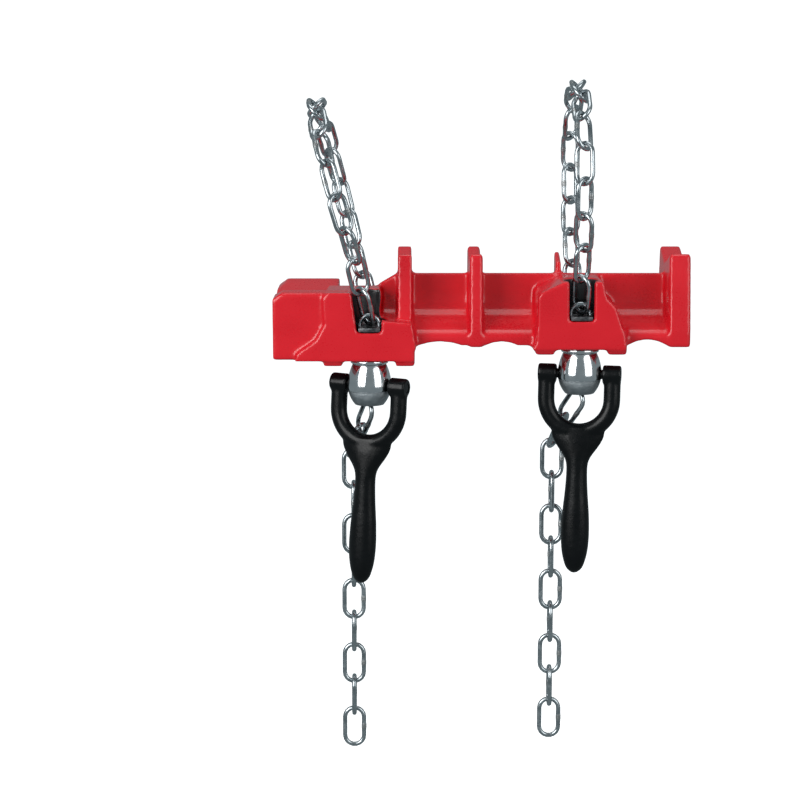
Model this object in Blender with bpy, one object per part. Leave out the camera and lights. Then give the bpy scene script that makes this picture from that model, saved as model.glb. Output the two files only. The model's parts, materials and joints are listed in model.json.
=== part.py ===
"""Pipe-welding chain vise: a cast V-saddle beam that hangs under a pipe by two chain clamps.

Metres, +Z up. +X runs along the pipe, the operator stands at -Y. The origin is the bottom of the
saddle's V, at the middle of the straight part: the point on which the pipe's centre line bears.
"""
from math import acos, atan2, cos, pi, radians, sin, sqrt, tan

import bmesh
import bpy
from mathutils import Matrix, Vector

MM = 0.001
GAP = 0.3 * MM  # between pieces that touch

# The pipe that the chains are drawn round: 6 inch, which is 168.3 mm outside
PIPE_RADIUS = 84.15 * MM
V_SLOPE = 17  # degrees
PIPE_CENTRE_Z = PIPE_RADIUS / cos(radians(V_SLOPE))

# Saddle casting
BASE_LEFT, BASE_RIGHT = -223.5 * MM, 217.5 * MM
FLANGE_HALF, FLANGE_LOW = 56 * MM, -85 * MM
BOSS_FRONT = -74 * MM
V_TIP_Y = 42 * MM
V_TIP_Z = V_TIP_Y * tan(radians(V_SLOPE))
RIBS = ((-92 * MM, -77 * MM), (-16 * MM, -2 * MM), (195 * MM, BASE_RIGHT))
WEB_TOP = -12 * MM
LOW_BLOCK_TOP, LOW_BLOCK_BOTTOM = -24 * MM, -97 * MM
LOW_BLOCK_RIGHT = -109 * MM

# Clamp stations: the screw's axis, how far the left one sits under the right one, the turns in degrees
# of the yoke, of the chain's loop and of the notch's left side, how far the loop's front bows to the
# right of its plane, the tail's offset from the screw, and the play between the anchor pin and the
# crown of the last link, which crosses it at 45 degrees and at the loop's lean
SCREW_Y = -52 * MM
STATIONS = {
    "left": {
        "x": -122 * MM,
        "drop": 12 * MM,
        "yaw": 25,
        "tilt": 1,
        "loop_lean": 14,
        "loop_bow": 3 * MM,
        "notch_lean": 8,
        "tail": (-18 * MM, 37 * MM),
        "pin_play": 5.8 * MM,
    },
    "right": {
        "x": 101 * MM,
        "drop": 0.0,
        "yaw": 10,
        "tilt": 0.5,
        "loop_lean": 0.5,
        "loop_bow": 0.0,
        "notch_lean": 0.5,
        "tail": (-26 * MM, 32 * MM),
        "pin_play": 1.6 * MM,
    },
}
NOTCH_HALF = 12.9 * MM
NOTCH_FLOOR = -55.5 * MM
SEAT_Z = -50.5 * MM  # on which the caught link bears
BOSS_BOTTOM = -85.5 * MM
FOOT_DROP = 5.5 * MM

# Chain: 5 mm wire
WIRE = 2.5 * MM
PITCH = 36.5 * MM
LINK_HALF_WIDTH = 10.5 * MM  # to the wire's centre
SEPARATION = 2 * WIRE + 0.7 * MM  # between the centres of two wires that bear on each other
RUN_SEPARATION = 4 * MM  # on the pipe the wires bed into one another, so that the run is one piece
LOOP_RADIUS = 97.5 * MM
LOOP_LINKS = 16
BOW_HEIGHT = 160 * MM  # of the front's bow, above the seat
FRONT_LINKS = 4  # these rise and fall with the screw; the others lie on the pipe
TAIL_LINKS = 9
SLACK = 1.6 * MM  # more play where two links meet at an angle

# Hollow screw, ball nut and washer
CHAIN_BORE = 13.4 * MM
SCREW_RADIUS = 15.2 * MM
SCREW_LENGTH = 70 * MM
BALL_RADIUS = 23.4 * MM
NUT_TOP_RADIUS, NUT_TOP_Z = 17.4 * MM, 23.5 * MM
LIP_RADIUS, LIP_Z = 15.8 * MM, -20.5 * MM
WASHER_THICK = 4 * MM
TRUNNION_Z = BOSS_BOTTOM - 2 * GAP - WASHER_THICK - NUT_TOP_Z

# Yoke handle, from its trunnions
ARM_X = 35 * MM
ARM_RADIUS = 9 * MM
ARM_STRAIGHT = 27 * MM
HANDLE_LEAN = 4  # degrees forward, where the tail holds it
PIN_RADIUS = 5 * MM

ANCHOR_PIN_RADIUS = 3.5 * MM
EAR_INNER, EAR_OUTER = 13.2 * MM, 20.7 * MM


def material(name, colour, roughness, metallic):
    made = bpy.data.materials.new(name)
    made.use_nodes = True
    shader = made.node_tree.nodes["Principled BSDF"]
    shader.inputs["Base Color"].default_value = (*colour, 1)
    shader.inputs["Roughness"].default_value = roughness
    shader.inputs["Metallic"].default_value = metallic
    made.diffuse_color = (*colour, 1)
    return made


def add_object(name, bm, paint, parent=None):
    """An object from a bmesh, its faces turned outwards and shaded smooth up to 35 degrees."""
    bmesh.ops.remove_doubles(bm, verts=bm.verts, dist=1e-7)
    bmesh.ops.recalc_face_normals(bm, faces=bm.faces)
    mesh = bpy.data.meshes.new(name)
    bm.to_mesh(mesh)
    bm.free()
    mesh.shade_smooth()
    mesh.set_sharp_from_angle(angle=radians(35))
    if paint:
        mesh.materials.append(paint)
    made = bpy.data.objects.new(name, mesh)
    made.parent = parent
    bpy.context.collection.objects.link(made)
    return made


def add_empty(name, location, rotation=None, parent=None):
    made = bpy.data.objects.new(name, None)
    made.location = location
    if rotation:
        made.rotation_euler = rotation.to_euler()
    made.parent = parent
    bpy.context.collection.objects.link(made)
    return made


def combine(target, tool, operation):
    """Joins a helper to an object or cuts it away, and hides the helper."""
    tool.hide_render = True
    tool.display_type = "WIRE"
    step = target.modifiers.new(f"{operation.lower()} {tool.name}", "BOOLEAN")
    step.operation = operation
    step.object = tool
    step.solver = "EXACT"


def prism(outline, along, low, high):
    """A bmesh of a flat outline drawn out along X (outline in Y, Z), Y (in X, Z) or Z (in X, Y)."""
    bm = bmesh.new()
    place = {
        "X": lambda a, b: (low, a, b),
        "Y": lambda a, b: (a, low, b),
        "Z": lambda a, b: (a, b, low),
    }[along]
    way = {"X": (1, 0, 0), "Y": (0, 1, 0), "Z": (0, 0, 1)}[along]
    face = bm.faces.new([bm.verts.new(place(a, b)) for a, b in outline])
    grown = bmesh.ops.extrude_face_region(bm, geom=[face])["geom"]
    moved = [v for v in grown if isinstance(v, bmesh.types.BMVert)]
    bmesh.ops.translate(bm, verts=moved, vec=Vector(way) * (high - low))
    return bm


def block(low, high):
    corners = ((low[0], low[1]), (high[0], low[1]), (high[0], high[1]), (low[0], high[1]))
    return prism(corners, "Z", low[2], high[2])


def arc(centre, radius, start, end, steps):
    """Points on an arc, angles in degrees."""
    turns = [radians(start + (end - start) * i / steps) for i in range(steps + 1)]
    return [(centre[0] + radius * cos(t), centre[1] + radius * sin(t)) for t in turns]


def bulged(start, end, bulge, steps):
    """Points on a curve that stands out from its chord, to the right of its way, by bulge."""
    first, chord = Vector(start), Vector(end) - Vector(start)
    out = Vector((chord.y, -chord.x)).normalized()
    shares = [i / steps for i in range(steps + 1)]
    return [(*(first + chord * t + out * bulge * 4 * t * (1 - t)),) for t in shares]


def turned(profile, steps, closed=True):
    """A bmesh of a profile of (radius, height) points turned about Z."""
    bm = bmesh.new()
    verts = [bm.verts.new((r, 0, z)) for r, z in profile]
    pairs = list(zip(verts, verts[1:], strict=False)) + ([(verts[-1], verts[0])] if closed else [])
    edges = [bm.edges.new(pair) for pair in pairs]
    bmesh.ops.spin(
        bm, geom=verts + edges, axis=(0, 0, 1), cent=(0, 0, 0), angle=2 * pi, steps=steps, use_merge=True
    )
    return bm


def tube(centres, halves, sides, closed):
    """A bmesh of elliptical rings swept along a path in the XZ plane.

    The halves are each ring's half widths, in the plane and across it.
    """
    bm = bmesh.new()
    rings = []
    count = len(centres)
    for i, (x, z) in enumerate(centres):
        before = centres[(i - 1) % count] if closed or i else (x, z)
        after = centres[(i + 1) % count] if closed or i + 1 < count else (x, z)
        way = Vector((after[0] - before[0], 0, after[1] - before[1])).normalized()
        across = Vector((way.z, 0, -way.x))
        turns = [2 * pi * (k + 0.5) / sides for k in range(sides)]
        wide, deep = halves[i]
        ring = [across * wide * cos(t) + Vector((x, deep * sin(t), z)) for t in turns]
        rings.append([bm.verts.new(p) for p in ring])
    following = rings[1:] + (rings[:1] if closed else [])
    for ring, after in zip(rings, following, strict=False):
        for k in range(sides):
            bm.faces.new((ring[k], ring[(k + 1) % sides], after[(k + 1) % sides], after[k]))
    if not closed:
        bm.faces.new(rings[0])
        bm.faces.new(rings[-1])
    return bm


# ---------------------------------------------------------------- saddle casting


def saddle_section():
    """Web, sloping flanges and turned-down lips, as (y, z) points."""
    half = [
        (4.5, -12), (4.8, -34), (6.5, -43), (11, -50), (20, -56), (36, -62.5), (50, -67.5), (56, -73),
        (56, -83), (48, -83), (46, -77), (10, -62), (0, -58),
    ]
    right = [(y * MM, z * MM) for y, z in half]
    return right + [(-y, z) for y, z in reversed(right[:-1])]


def rib_section():
    """A V notch on top, sides that spread down to the flange."""
    half = [(0, 0), (V_TIP_Y, V_TIP_Z), (46 * MM, V_TIP_Z - 2 * MM), (FLANGE_HALF + MM, -68 * MM)]
    half += [(FLANGE_HALF + MM, FLANGE_LOW), (44 * MM, FLANGE_LOW), (30 * MM, -68 * MM), (0, -56 * MM)]
    return half + [(-y, z) for y, z in reversed(half[1:-1])]


def low_block_section():
    """The deep block under the elbow: shallow V on top, hollow underneath."""
    top = LOW_BLOCK_TOP
    outer = [(0, top - 13 * MM), (54 * MM, top), (70 * MM, top - 2 * MM), (67 * MM, LOW_BLOCK_BOTTOM)]
    inner = [(57 * MM, LOW_BLOCK_BOTTOM), (56 * MM, top - 14 * MM), (0, top - 22 * MM)]
    half = outer + inner
    return half + [(-y, z) for y, z in reversed(half[1:-1])]


def boss_outline(station):
    """The boss from the front, as (x, z) points from its lower right corner round to its lower left."""
    x, low = station["x"], BOSS_BOTTOM - station["drop"]
    if station["drop"]:  # open on the right above the screw's head, its foot flares on the low block's face
        high = LOW_BLOCK_TOP - MM
        right = [(50, 0), (50, 12), (45.5, 40), (12, 43)]
        left = [(-47, 39), (-56, 22), (-76, 8), (-78, 0)]
        top = [(12, high), (-44, high), (-49, high - 6 * MM)]
    else:
        high = WEB_TOP - MM
        right = [(48, 0), (44.5, 18), (35.5, 45), (26, 55)]
        left = [(-47, 8), (-52, 0)]
        top = [(23, high - 3 * MM), (21, high), (-18, high), (-43, high - 12 * MM), (-46, high - 17 * MM)]
    right, left = ([(x + a * MM, low + b * MM) for a, b in side] for side in (right, left))
    return right + [(x + a * MM, z) for a, z in top] + left


def notch_outline(station):
    """The open front of the boss, as (x, z) points: its left side slopes with the chain."""
    left, right = station["x"] - NOTCH_HALF, station["x"] + NOTCH_HALF
    floor, top = NOTCH_FLOOR - station["drop"], 40 * MM
    flare = tan(radians(station["notch_lean"])) * (top - floor)
    return [(left, floor), (right, floor), (right, top), (left - flare, top)]


def scallop(middle, half, depth):
    """A cutter along Y that arches the flange's lower edge between two supports."""
    radius = (half**2 + depth**2) / (2 * depth)
    centre = (middle, FLANGE_LOW + depth - radius)
    swing = 90 - acos(half / radius) * 180 / pi
    curve = arc(centre, radius, 90 + swing, 90 - swing, 8)
    below = [(middle + half, -110 * MM), (middle - half, -110 * MM)]
    return prism(curve + below, "Y", -90 * MM, 90 * MM)


def add_base(paint, anchors):
    web = prism(saddle_section(), "X", LOW_BLOCK_RIGHT - 4 * MM, BASE_RIGHT - 2 * MM)
    base = add_object("base_casting", web, paint)
    joined = [prism(rib_section(), "X", low, high) for low, high in RIBS]
    joined.append(prism(low_block_section(), "X", BASE_LEFT, LOW_BLOCK_RIGHT))
    rear_rib = [(0, 0), (V_TIP_Y, V_TIP_Z), (44 * MM, 6 * MM), (40 * MM, -62 * MM), (0, -58 * MM)]
    joined.append(prism(rear_rib, "X", 78 * MM, 84 * MM))
    for station in STATIONS.values():
        drop = station["drop"]
        joined.append(prism(boss_outline(station), "Y", BOSS_FRONT, -2 * MM))
        for left, right in ((-48, -28), (28, 48)):
            low = BOSS_BOTTOM - drop - FOOT_DROP
            joined.append(
                block(
                    (station["x"] + left * MM, BOSS_FRONT + 3 * MM, low),
                    (station["x"] + right * MM, BOSS_FRONT + 42 * MM, low + FOOT_DROP + 22 * MM),
                )
            )
    low = LOW_BLOCK_BOTTOM + MM
    end_wall = [(-64 * MM, low), (64 * MM, low), (64 * MM, -27 * MM), (0, -40 * MM), (-64 * MM, -27 * MM)]
    joined.append(prism(end_wall, "X", BASE_LEFT + MM, BASE_LEFT + 9 * MM))
    for i, bm in enumerate(joined):
        combine(base, add_object(f"base_join_{i}", bm, None), "UNION")
    for side, anchor in anchors.items():
        recess = block((anchor.x - 30 * MM, 30 * MM, -73 * MM), (anchor.x + 30 * MM, 90 * MM, 40 * MM))
        combine(base, add_object(f"anchor_recess_{side}", recess, None), "DIFFERENCE")
        for sign in (-1, 1):
            inner, outer = sorted((sign * EAR_INNER, sign * EAR_OUTER))
            ear = prism(ear_outline(anchor), "X", anchor.x + inner, anchor.x + outer)
            combine(base, add_object(f"anchor_ear_{side}_{sign + 1}", ear, None), "UNION")

    cuts = [scallop(-47 * MM, 27 * MM, 6 * MM), scallop(18 * MM, 20 * MM, 6 * MM)]
    cuts.append(scallop(172 * MM, 23 * MM, 8 * MM))
    for station in STATIONS.values():
        x, high, floor = station["x"], 40 * MM, NOTCH_FLOOR - station["drop"]
        for radius, low in ((SCREW_RADIUS + 0.5 * MM, -130 * MM), (17.6 * MM, floor)):
            cuts.append(turned([(0, low), (radius, low), (radius, high), (0, high)], 32, closed=False))
            bmesh.ops.translate(cuts[-1], verts=cuts[-1].verts, vec=(x, SCREW_Y, 0))
        cuts.append(prism(notch_outline(station), "Y", -100 * MM, SCREW_Y))
    for anchor in anchors.values():
        radius, half = ANCHOR_PIN_RADIUS + 0.4 * MM, 30 * MM
        hole = turned([(0, -half), (radius, -half), (radius, half), (0, half)], 16, closed=False)
        bmesh.ops.rotate(hole, verts=hole.verts, cent=(0, 0, 0), matrix=Matrix.Rotation(pi / 2, 3, "Y"))
        bmesh.ops.translate(hole, verts=hole.verts, vec=anchor)
        cuts.append(hole)
    corner = [(BASE_LEFT - MM, 0), (BASE_LEFT - MM, -33 * MM)]
    corner += [(BASE_LEFT + 9 * MM, LOW_BLOCK_TOP - 2 * MM), (BASE_LEFT + 12 * MM, 0)]
    cuts.append(prism(corner, "Y", -90 * MM, 90 * MM))
    web_slope = [(-93 * MM, WEB_TOP), (-93 * MM, 5 * MM), (-115 * MM, 5 * MM)]
    web_slope.append((-115 * MM, WEB_TOP - 13 * MM))
    cuts.append(prism(web_slope, "Y", -90 * MM, 90 * MM))
    for i, bm in enumerate(cuts):
        combine(base, add_object(f"base_cut_{i}", bm, None), "DIFFERENCE")
    return base


def ear_outline(anchor):
    """A round-topped ear for the chain's anchor pin, as (y, z) points."""
    top = arc((anchor.y, anchor.z), 9 * MM, 0, 180, 8)
    foot = [(anchor.y - 20 * MM, -72 * MM), (anchor.y - 18 * MM, -81 * MM), (FLANGE_HALF - MM, -81 * MM)]
    return top + foot


# ---------------------------------------------------------------- chain


def link_mesh(name, separation, paint):
    """One welded link in the XZ plane, its long way along Z."""
    crown = (PITCH + separation) / 2 - LINK_HALF_WIDTH
    steps = 4
    upper = [(x, z + crown) for x, z in arc((0, 0), LINK_HALF_WIDTH, 0, 180, steps)]
    lower = [(x, z - crown) for x, z in arc((0, 0), LINK_HALF_WIDTH, 180, 360, steps)]
    bm = tube(upper + lower, [(WIRE, WIRE)] * (2 * steps + 2), 6, closed=True)
    bmesh.ops.recalc_face_normals(bm, faces=bm.faces)
    mesh = bpy.data.meshes.new(name)
    bm.to_mesh(mesh)
    bm.free()
    mesh.shade_smooth()
    mesh.materials.append(paint)
    return mesh


def place_link(name, mesh, top, bottom, roll, facing):
    """A link between two joints. At roll 0 its flat side faces the way of facing."""
    along = (top - bottom).normalized()
    normal = (facing - along * facing.dot(along)).normalized()
    normal.rotate(Matrix.Rotation(radians(roll), 3, along))
    across = normal.cross(along)
    turn = Matrix((across, normal, along)).transposed()
    made = bpy.data.objects.new(name, mesh)
    made.matrix_world = Matrix.Translation((top + bottom) / 2) @ turn.to_4x4()
    bpy.context.collection.objects.link(made)
    return made


def loop_route():
    """The chain's route in the (y, z) plane: up from the seat, round the pipe, down to the rear ear."""
    centre = Vector((0, PIPE_CENTRE_Z))
    start = Vector((SCREW_Y, SEAT_Z + WIRE + GAP + SEPARATION / 2))
    end = Vector((-SCREW_Y, -44 * MM))

    def tangent(point, side):
        away = point - centre
        swing = acos(LOOP_RADIUS / away.length)
        angle = atan2(away.y, away.x) - side * swing
        return angle % (2 * pi)

    first, last = tangent(start, 1), tangent(end, -1) % (2 * pi)
    if last > first:
        last -= 2 * pi
    touch = centre + LOOP_RADIUS * Vector((cos(first), sin(first)))
    leave = centre + LOOP_RADIUS * Vector((cos(last), sin(last)))
    straight, bend = (touch - start).length, LOOP_RADIUS * (first - last)
    onward = (end - leave).normalized()

    def at(s):
        if s < straight:
            return start.lerp(touch, s / straight)
        if s < straight + bend:
            angle = first - (s - straight) / LOOP_RADIUS
            return centre + LOOP_RADIUS * Vector((cos(angle), sin(angle)))
        return leave + onward * (s - straight - bend)

    return at


def loop_joints(station):
    """The joints between the loop's links, one pitch apart, in world space."""
    route = loop_route()
    lean = Matrix.Rotation(-radians(station["loop_lean"]), 3, "Y")
    seat = Vector((0, SCREW_Y, SEAT_Z))
    shift = Vector((station["x"], 0, -station["drop"]))

    def at(s):
        y, z = route(s)
        share = min(1, (z - SEAT_Z) / BOW_HEIGHT) if y < 0 else 1
        bow = Vector((station["loop_bow"] * sin(pi * share), 0, 0))
        return seat + lean @ (Vector((0, y, z)) - seat) + bow + shift

    place, found = 0.0, [at(0.0)]
    for _ in range(LOOP_LINKS):
        low, high = place, place + 1.5 * PITCH
        for _ in range(40):
            middle = (low + high) / 2
            if (at(middle) - found[-1]).length < PITCH:
                low = middle
            else:
                high = middle
        place = low
        found.append(at(place))
    return found


def anchor_of(station, joints):
    """The anchor pin's centre, inside the last link's end."""
    along = (joints[-1] - joints[-2]).normalized()
    return joints[-1] + along * (RUN_SEPARATION / 2 - WIRE - ANCHOR_PIN_RADIUS - station["pin_play"])


def add_loop(side, station, joints, zinc):
    """The links on the pipe as one run, and the front ones each by itself."""
    centre = Vector((station["x"], 0, PIPE_CENTRE_Z - station["drop"]))
    loose = link_mesh(f"link_{side}", SEPARATION, zinc)
    run = None
    tight = link_mesh(f"run_link_{side}", RUN_SEPARATION, zinc)
    for i, (low, high) in enumerate(zip(joints, joints[1:], strict=False)):
        out = (low + high) / 2 - centre
        out.x = 0
        roll = 45 if i % 2 else -45
        if i < FRONT_LINKS:
            place_link(f"front_link_{side}_{i + 1}", loose, high, low, roll, out)
            continue
        if run is None:
            shift = (high - low).normalized() * (SEPARATION - RUN_SEPARATION + SLACK) / 2
            run = place_link(f"chain_wrap_{side}", tight, high - shift, low - shift, roll, out)
        else:
            combine(run, place_link(f"wrap_part_{side}_{i}", tight, high, low, roll, out), "UNION")
    return loose


def add_inner_and_tail(side, station, loose):
    """The chain inside the screw, the two links that swerve behind the yoke, and the hanging tail."""
    x, drop = station["x"], station["drop"]
    front = Vector((0, -1, 0))
    axis = Vector((x, SCREW_Y, 0))
    top = axis + Vector((0, 0, SEAT_Z - drop + WIRE + GAP + SEPARATION / 2 + 2.8 * MM))
    for i in range(2):
        bottom = top - Vector((0, 0, PITCH))
        place_link(f"inner_link_{side}_{i + 1}", loose, top, bottom, 90 * i, front)
        top = bottom
    trunnion = axis + Vector((0, 0, TRUNNION_Z - drop))
    mouth = trunnion + Vector((0, 0, LIP_Z - 2.6 * MM))
    swerve = Vector((*station["tail"], 0))
    aside = trunnion + 0.57 * swerve
    aside.z = mouth.z - sqrt(PITCH**2 - (aside.xy - mouth.xy).length_squared)
    down = trunnion + swerve
    down.z = aside.z - sqrt(PITCH**2 - (down.xy - aside.xy).length_squared)
    beside = Vector((-swerve.y, swerve.x, 0))
    slack = Vector((0, 0, SLACK))
    place_link(f"exit_link_{side}_1", loose, mouth, aside, 0, beside)
    place_link(f"exit_link_{side}_2", loose, aside + slack, down + slack, 90, beside + swerve.y * front)
    top = down + 2 * slack
    for i in range(TAIL_LINKS):
        bottom = top - Vector((0, 0, PITCH))
        place_link(f"tail_link_{side}_{i + 1}", loose, top, bottom, 90 * (i % 2), front)
        top = bottom


# ---------------------------------------------------------------- clamp stations


def add_washer(side, parent, plated):
    high = BOSS_BOTTOM - GAP
    low = high - WASHER_THICK
    inner, outer = SCREW_RADIUS + MM, 20 * MM
    profile = [(inner, low), (outer - MM, low), (outer, low + MM), (outer, high), (inner, high)]
    add_object(f"thrust_washer_{side}", turned(profile, 32), plated, parent)


def add_screw(side, parent, steel):
    """Hollow screw: the cap on its head has two crossed slots that let the chain's links by."""
    low, rim = SEAT_Z - SCREW_LENGTH, SEAT_Z + 3 * MM
    cap = SEAT_Z - 6 * MM
    profile = [
        (CHAIN_BORE, low), (SCREW_RADIUS - 1.5 * MM, low), (SCREW_RADIUS, low + 1.5 * MM),
        (SCREW_RADIUS, rim), (CHAIN_BORE, rim), (CHAIN_BORE, SEAT_Z), (3 * MM, SEAT_Z),
        (3 * MM, cap), (CHAIN_BORE, cap),
    ]
    screw = add_object(f"chain_screw_{side}", turned(profile, 32), steel, parent)
    key = block((-12.4 * MM, -21 * MM, NOTCH_FLOOR + GAP), (12.4 * MM, -13 * MM, SEAT_Z))
    combine(screw, add_object(f"screw_key_{side}", key, None, parent), "UNION")
    slots = [
        block((-3.1 * MM, -12.8 * MM, cap - 5 * MM), (3.1 * MM, 12.8 * MM, SEAT_Z + MM)),
        block((-12.8 * MM, -3.1 * MM, cap - 5 * MM), (12.8 * MM, 3.1 * MM, SEAT_Z + MM)),
        block((-11.5 * MM, -25 * MM, SEAT_Z), (11.5 * MM, 0, rim + 5 * MM)),
    ]
    for i, bm in enumerate(slots):
        combine(screw, add_object(f"screw_slot_{side}_{i}", bm, None, parent), "DIFFERENCE")


def add_nut(side, parent, trunnions, plated):
    """Ball nut, with a blind hole for each trunnion pin."""
    profile = bulged((LIP_RADIUS, LIP_Z), (BALL_RADIUS, 0), 2 * MM, 5)
    profile += bulged((BALL_RADIUS, 0), (NUT_TOP_RADIUS, NUT_TOP_Z), 1.3 * MM, 5)[1:]
    bore = SCREW_RADIUS + GAP
    profile += [(bore, NUT_TOP_Z), (bore, -11 * MM), (CHAIN_BORE, -13 * MM), (LIP_RADIUS - MM, LIP_Z)]
    nut = add_object(f"ball_nut_{side}", turned(profile, 28), plated, parent)
    nut.location.z = TRUNNION_Z
    for hand, sign in (("near", 1), ("far", -1)):
        hole = trunnion_cylinder(PIN_RADIUS + GAP, 19 * MM, 30 * MM, sign)
        combine(nut, add_object(f"nut_hole_{side}_{hand}", hole, None, trunnions), "DIFFERENCE")
        pin = trunnion_cylinder(PIN_RADIUS, 19.5 * MM, 43.5 * MM, sign)
        add_object(f"trunnion_pin_{side}_{hand}", pin, plated, trunnions)


def trunnion_cylinder(radius, low, high, sign):
    """A cylinder along the trunnions' axis, on one side of the nut."""
    bm = turned([(0, low), (radius, low), (radius, high), (0, high)], 20, closed=False)
    bmesh.ops.rotate(bm, verts=bm.verts, cent=(0, 0, 0), matrix=Matrix.Rotation(sign * pi / 2, 3, "Y"))
    return bm


def add_yoke(side, parent, black):
    """One-piece handle: a round-section U whose ends carry the pins, a neck and a swelling grip."""
    lower = arc((0, -ARM_STRAIGHT), ARM_X, 180, 360, 12)
    path = [(-ARM_X, 0)] + lower + [(ARM_X, 0)]
    arms = tube(path, [(ARM_RADIUS, ARM_RADIUS)] * len(path), 12, False)
    yoke = add_object(f"yoke_handle_{side}", arms, black, parent)
    grip = [
        (57, 29, 8), (66, 28, 8.6), (73, 25, 9), (80, 20.5, 9.2), (87, 15.5, 9.4), (94, 12.2, 9.6),
        (104, 11.2, 9.8), (125, 12.2, 10.5), (150, 14.4, 11.6), (172, 15.2, 12), (190, 14, 11.2),
        (203, 11, 9.2), (211, 7, 6), (214, 3, 3),
    ]
    centres = [(0, -z * MM) for z, _, _ in grip]
    halves = [(wide * MM, deep * MM) for _, wide, deep in grip]
    combine(yoke, add_object(f"yoke_grip_{side}", tube(centres, halves, 12, False), None, parent), "UNION")
    for hand, sign in (("near", 1), ("far", -1)):
        eye = trunnion_cylinder(10 * MM, BALL_RADIUS + MM, ARM_X + ARM_RADIUS, sign)
        combine(yoke, add_object(f"yoke_eye_{side}_{hand}", eye, None, parent), "UNION")
    for hand, sign in (("near", 1), ("far", -1)):
        hole = trunnion_cylinder(PIN_RADIUS + GAP, 20 * MM, 50 * MM, sign)
        combine(yoke, add_object(f"yoke_hole_{side}_{hand}", hole, None, parent), "DIFFERENCE")


def add_anchor(side, anchor, steel):
    """The pin that holds the chain's fixed end in the rear ears, with its split pin."""
    turn = Matrix.Rotation(pi / 2, 3, "Y")
    parent = add_empty(f"anchor_{side}", anchor, turn)
    radius = ANCHOR_PIN_RADIUS
    head, end, cotter = -21 * MM, 28.5 * MM, 25.2 * MM
    profile = [
        (0, head - 3.5 * MM), (6 * MM, head - 3.5 * MM), (6 * MM, head), (radius, head),
        (radius, end - MM), (radius - MM, end), (0, end),
    ]
    pin = add_object(f"anchor_pin_{side}", turned(profile, 16, closed=False), steel, parent)
    hole = turned([(0, -8 * MM), (1.7 * MM, -8 * MM), (1.7 * MM, 8 * MM), (0, 8 * MM)], 12, closed=False)
    bmesh.ops.rotate(hole, verts=hole.verts, cent=(0, 0, 0), matrix=turn)
    bmesh.ops.translate(hole, verts=hole.verts, vec=(0, 0, cotter))
    combine(pin, add_object(f"anchor_hole_{side}", hole, None, parent), "DIFFERENCE")
    eye = arc((-7.5 * MM, cotter), 3 * MM, 20, 340, 10)
    path = [(7 * MM, cotter), (-4 * MM, cotter)] + eye[1:-1]
    wire = tube(path, [(1.2 * MM, 1.2 * MM)] * len(path), 8, False)
    add_object(f"anchor_cotter_{side}", wire, steel, parent)


def main():
    for old in list(bpy.data.objects):
        bpy.data.objects.remove(old)
    red = material("red_enamel", (0.70, 0.014, 0.026), 0.35, 0.0)
    zinc = material("zinc_plate", (0.62, 0.63, 0.65), 0.28, 1.0)
    plated = material("bright_plate", (0.72, 0.73, 0.75), 0.16, 1.0)
    steel = material("dark_steel", (0.16, 0.16, 0.17), 0.40, 1.0)
    black = material("black_enamel", (0.012, 0.013, 0.015), 0.30, 0.0)

    joints = {side: loop_joints(station) for side, station in STATIONS.items()}
    anchors = {side: anchor_of(STATIONS[side], found) for side, found in joints.items()}
    add_base(red, anchors)
    for side, station in STATIONS.items():
        level = Vector((station["x"], SCREW_Y, -station["drop"]))
        screw_axis = add_empty(f"screw_axis_{side}", level)
        add_washer(side, screw_axis, plated)
        add_screw(side, screw_axis, steel)
        yaw = Matrix.Rotation(-radians(station["yaw"]), 3, "Z")
        tilt = Matrix.Rotation(radians(station["tilt"]), 3, "Y")
        lean = Matrix.Rotation(-radians(HANDLE_LEAN), 3, "X")
        trunnions = add_empty(f"trunnions_{side}", (0, 0, TRUNNION_Z), yaw @ tilt, screw_axis)
        add_nut(side, screw_axis, trunnions, plated)
        swing = add_empty(f"handle_swing_{side}", (0, 0, 0), lean, trunnions)
        add_yoke(side, swing, black)
        add_anchor(side, anchors[side], steel)
        loose = add_loop(side, station, joints[side], zinc)
        add_inner_and_tail(side, station, loose)
    bpy.context.view_layer.update()


main()
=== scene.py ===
"""Looks of a pipe-welding chain vise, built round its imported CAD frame.

Metres, +Z up, +X along the pipe, the operator stands at -Y. The pipe isn't part of the object, so
the two chains keep the taut loops that they have round it.
"""

import json
from math import acos, atan2, cos, pi, radians, sin

import bmesh
import bpy
import numpy as np
from mathutils import Matrix, Vector


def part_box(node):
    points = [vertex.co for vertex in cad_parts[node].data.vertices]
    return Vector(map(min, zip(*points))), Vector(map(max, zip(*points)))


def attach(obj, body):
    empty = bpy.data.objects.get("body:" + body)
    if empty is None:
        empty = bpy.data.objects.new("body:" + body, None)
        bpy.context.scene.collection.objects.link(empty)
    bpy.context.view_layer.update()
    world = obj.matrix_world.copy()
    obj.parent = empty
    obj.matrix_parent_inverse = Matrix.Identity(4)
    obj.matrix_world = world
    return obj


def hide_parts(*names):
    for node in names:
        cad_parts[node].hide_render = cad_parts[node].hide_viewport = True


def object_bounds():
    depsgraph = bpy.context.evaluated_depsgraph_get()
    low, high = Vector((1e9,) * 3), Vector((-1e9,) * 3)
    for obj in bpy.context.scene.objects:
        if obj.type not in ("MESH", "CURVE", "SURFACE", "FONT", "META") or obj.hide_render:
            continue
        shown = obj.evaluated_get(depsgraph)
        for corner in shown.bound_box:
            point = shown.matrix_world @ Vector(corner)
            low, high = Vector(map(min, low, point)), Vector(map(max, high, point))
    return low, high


MM = 0.001
SIDES = ("left", "right")

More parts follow.
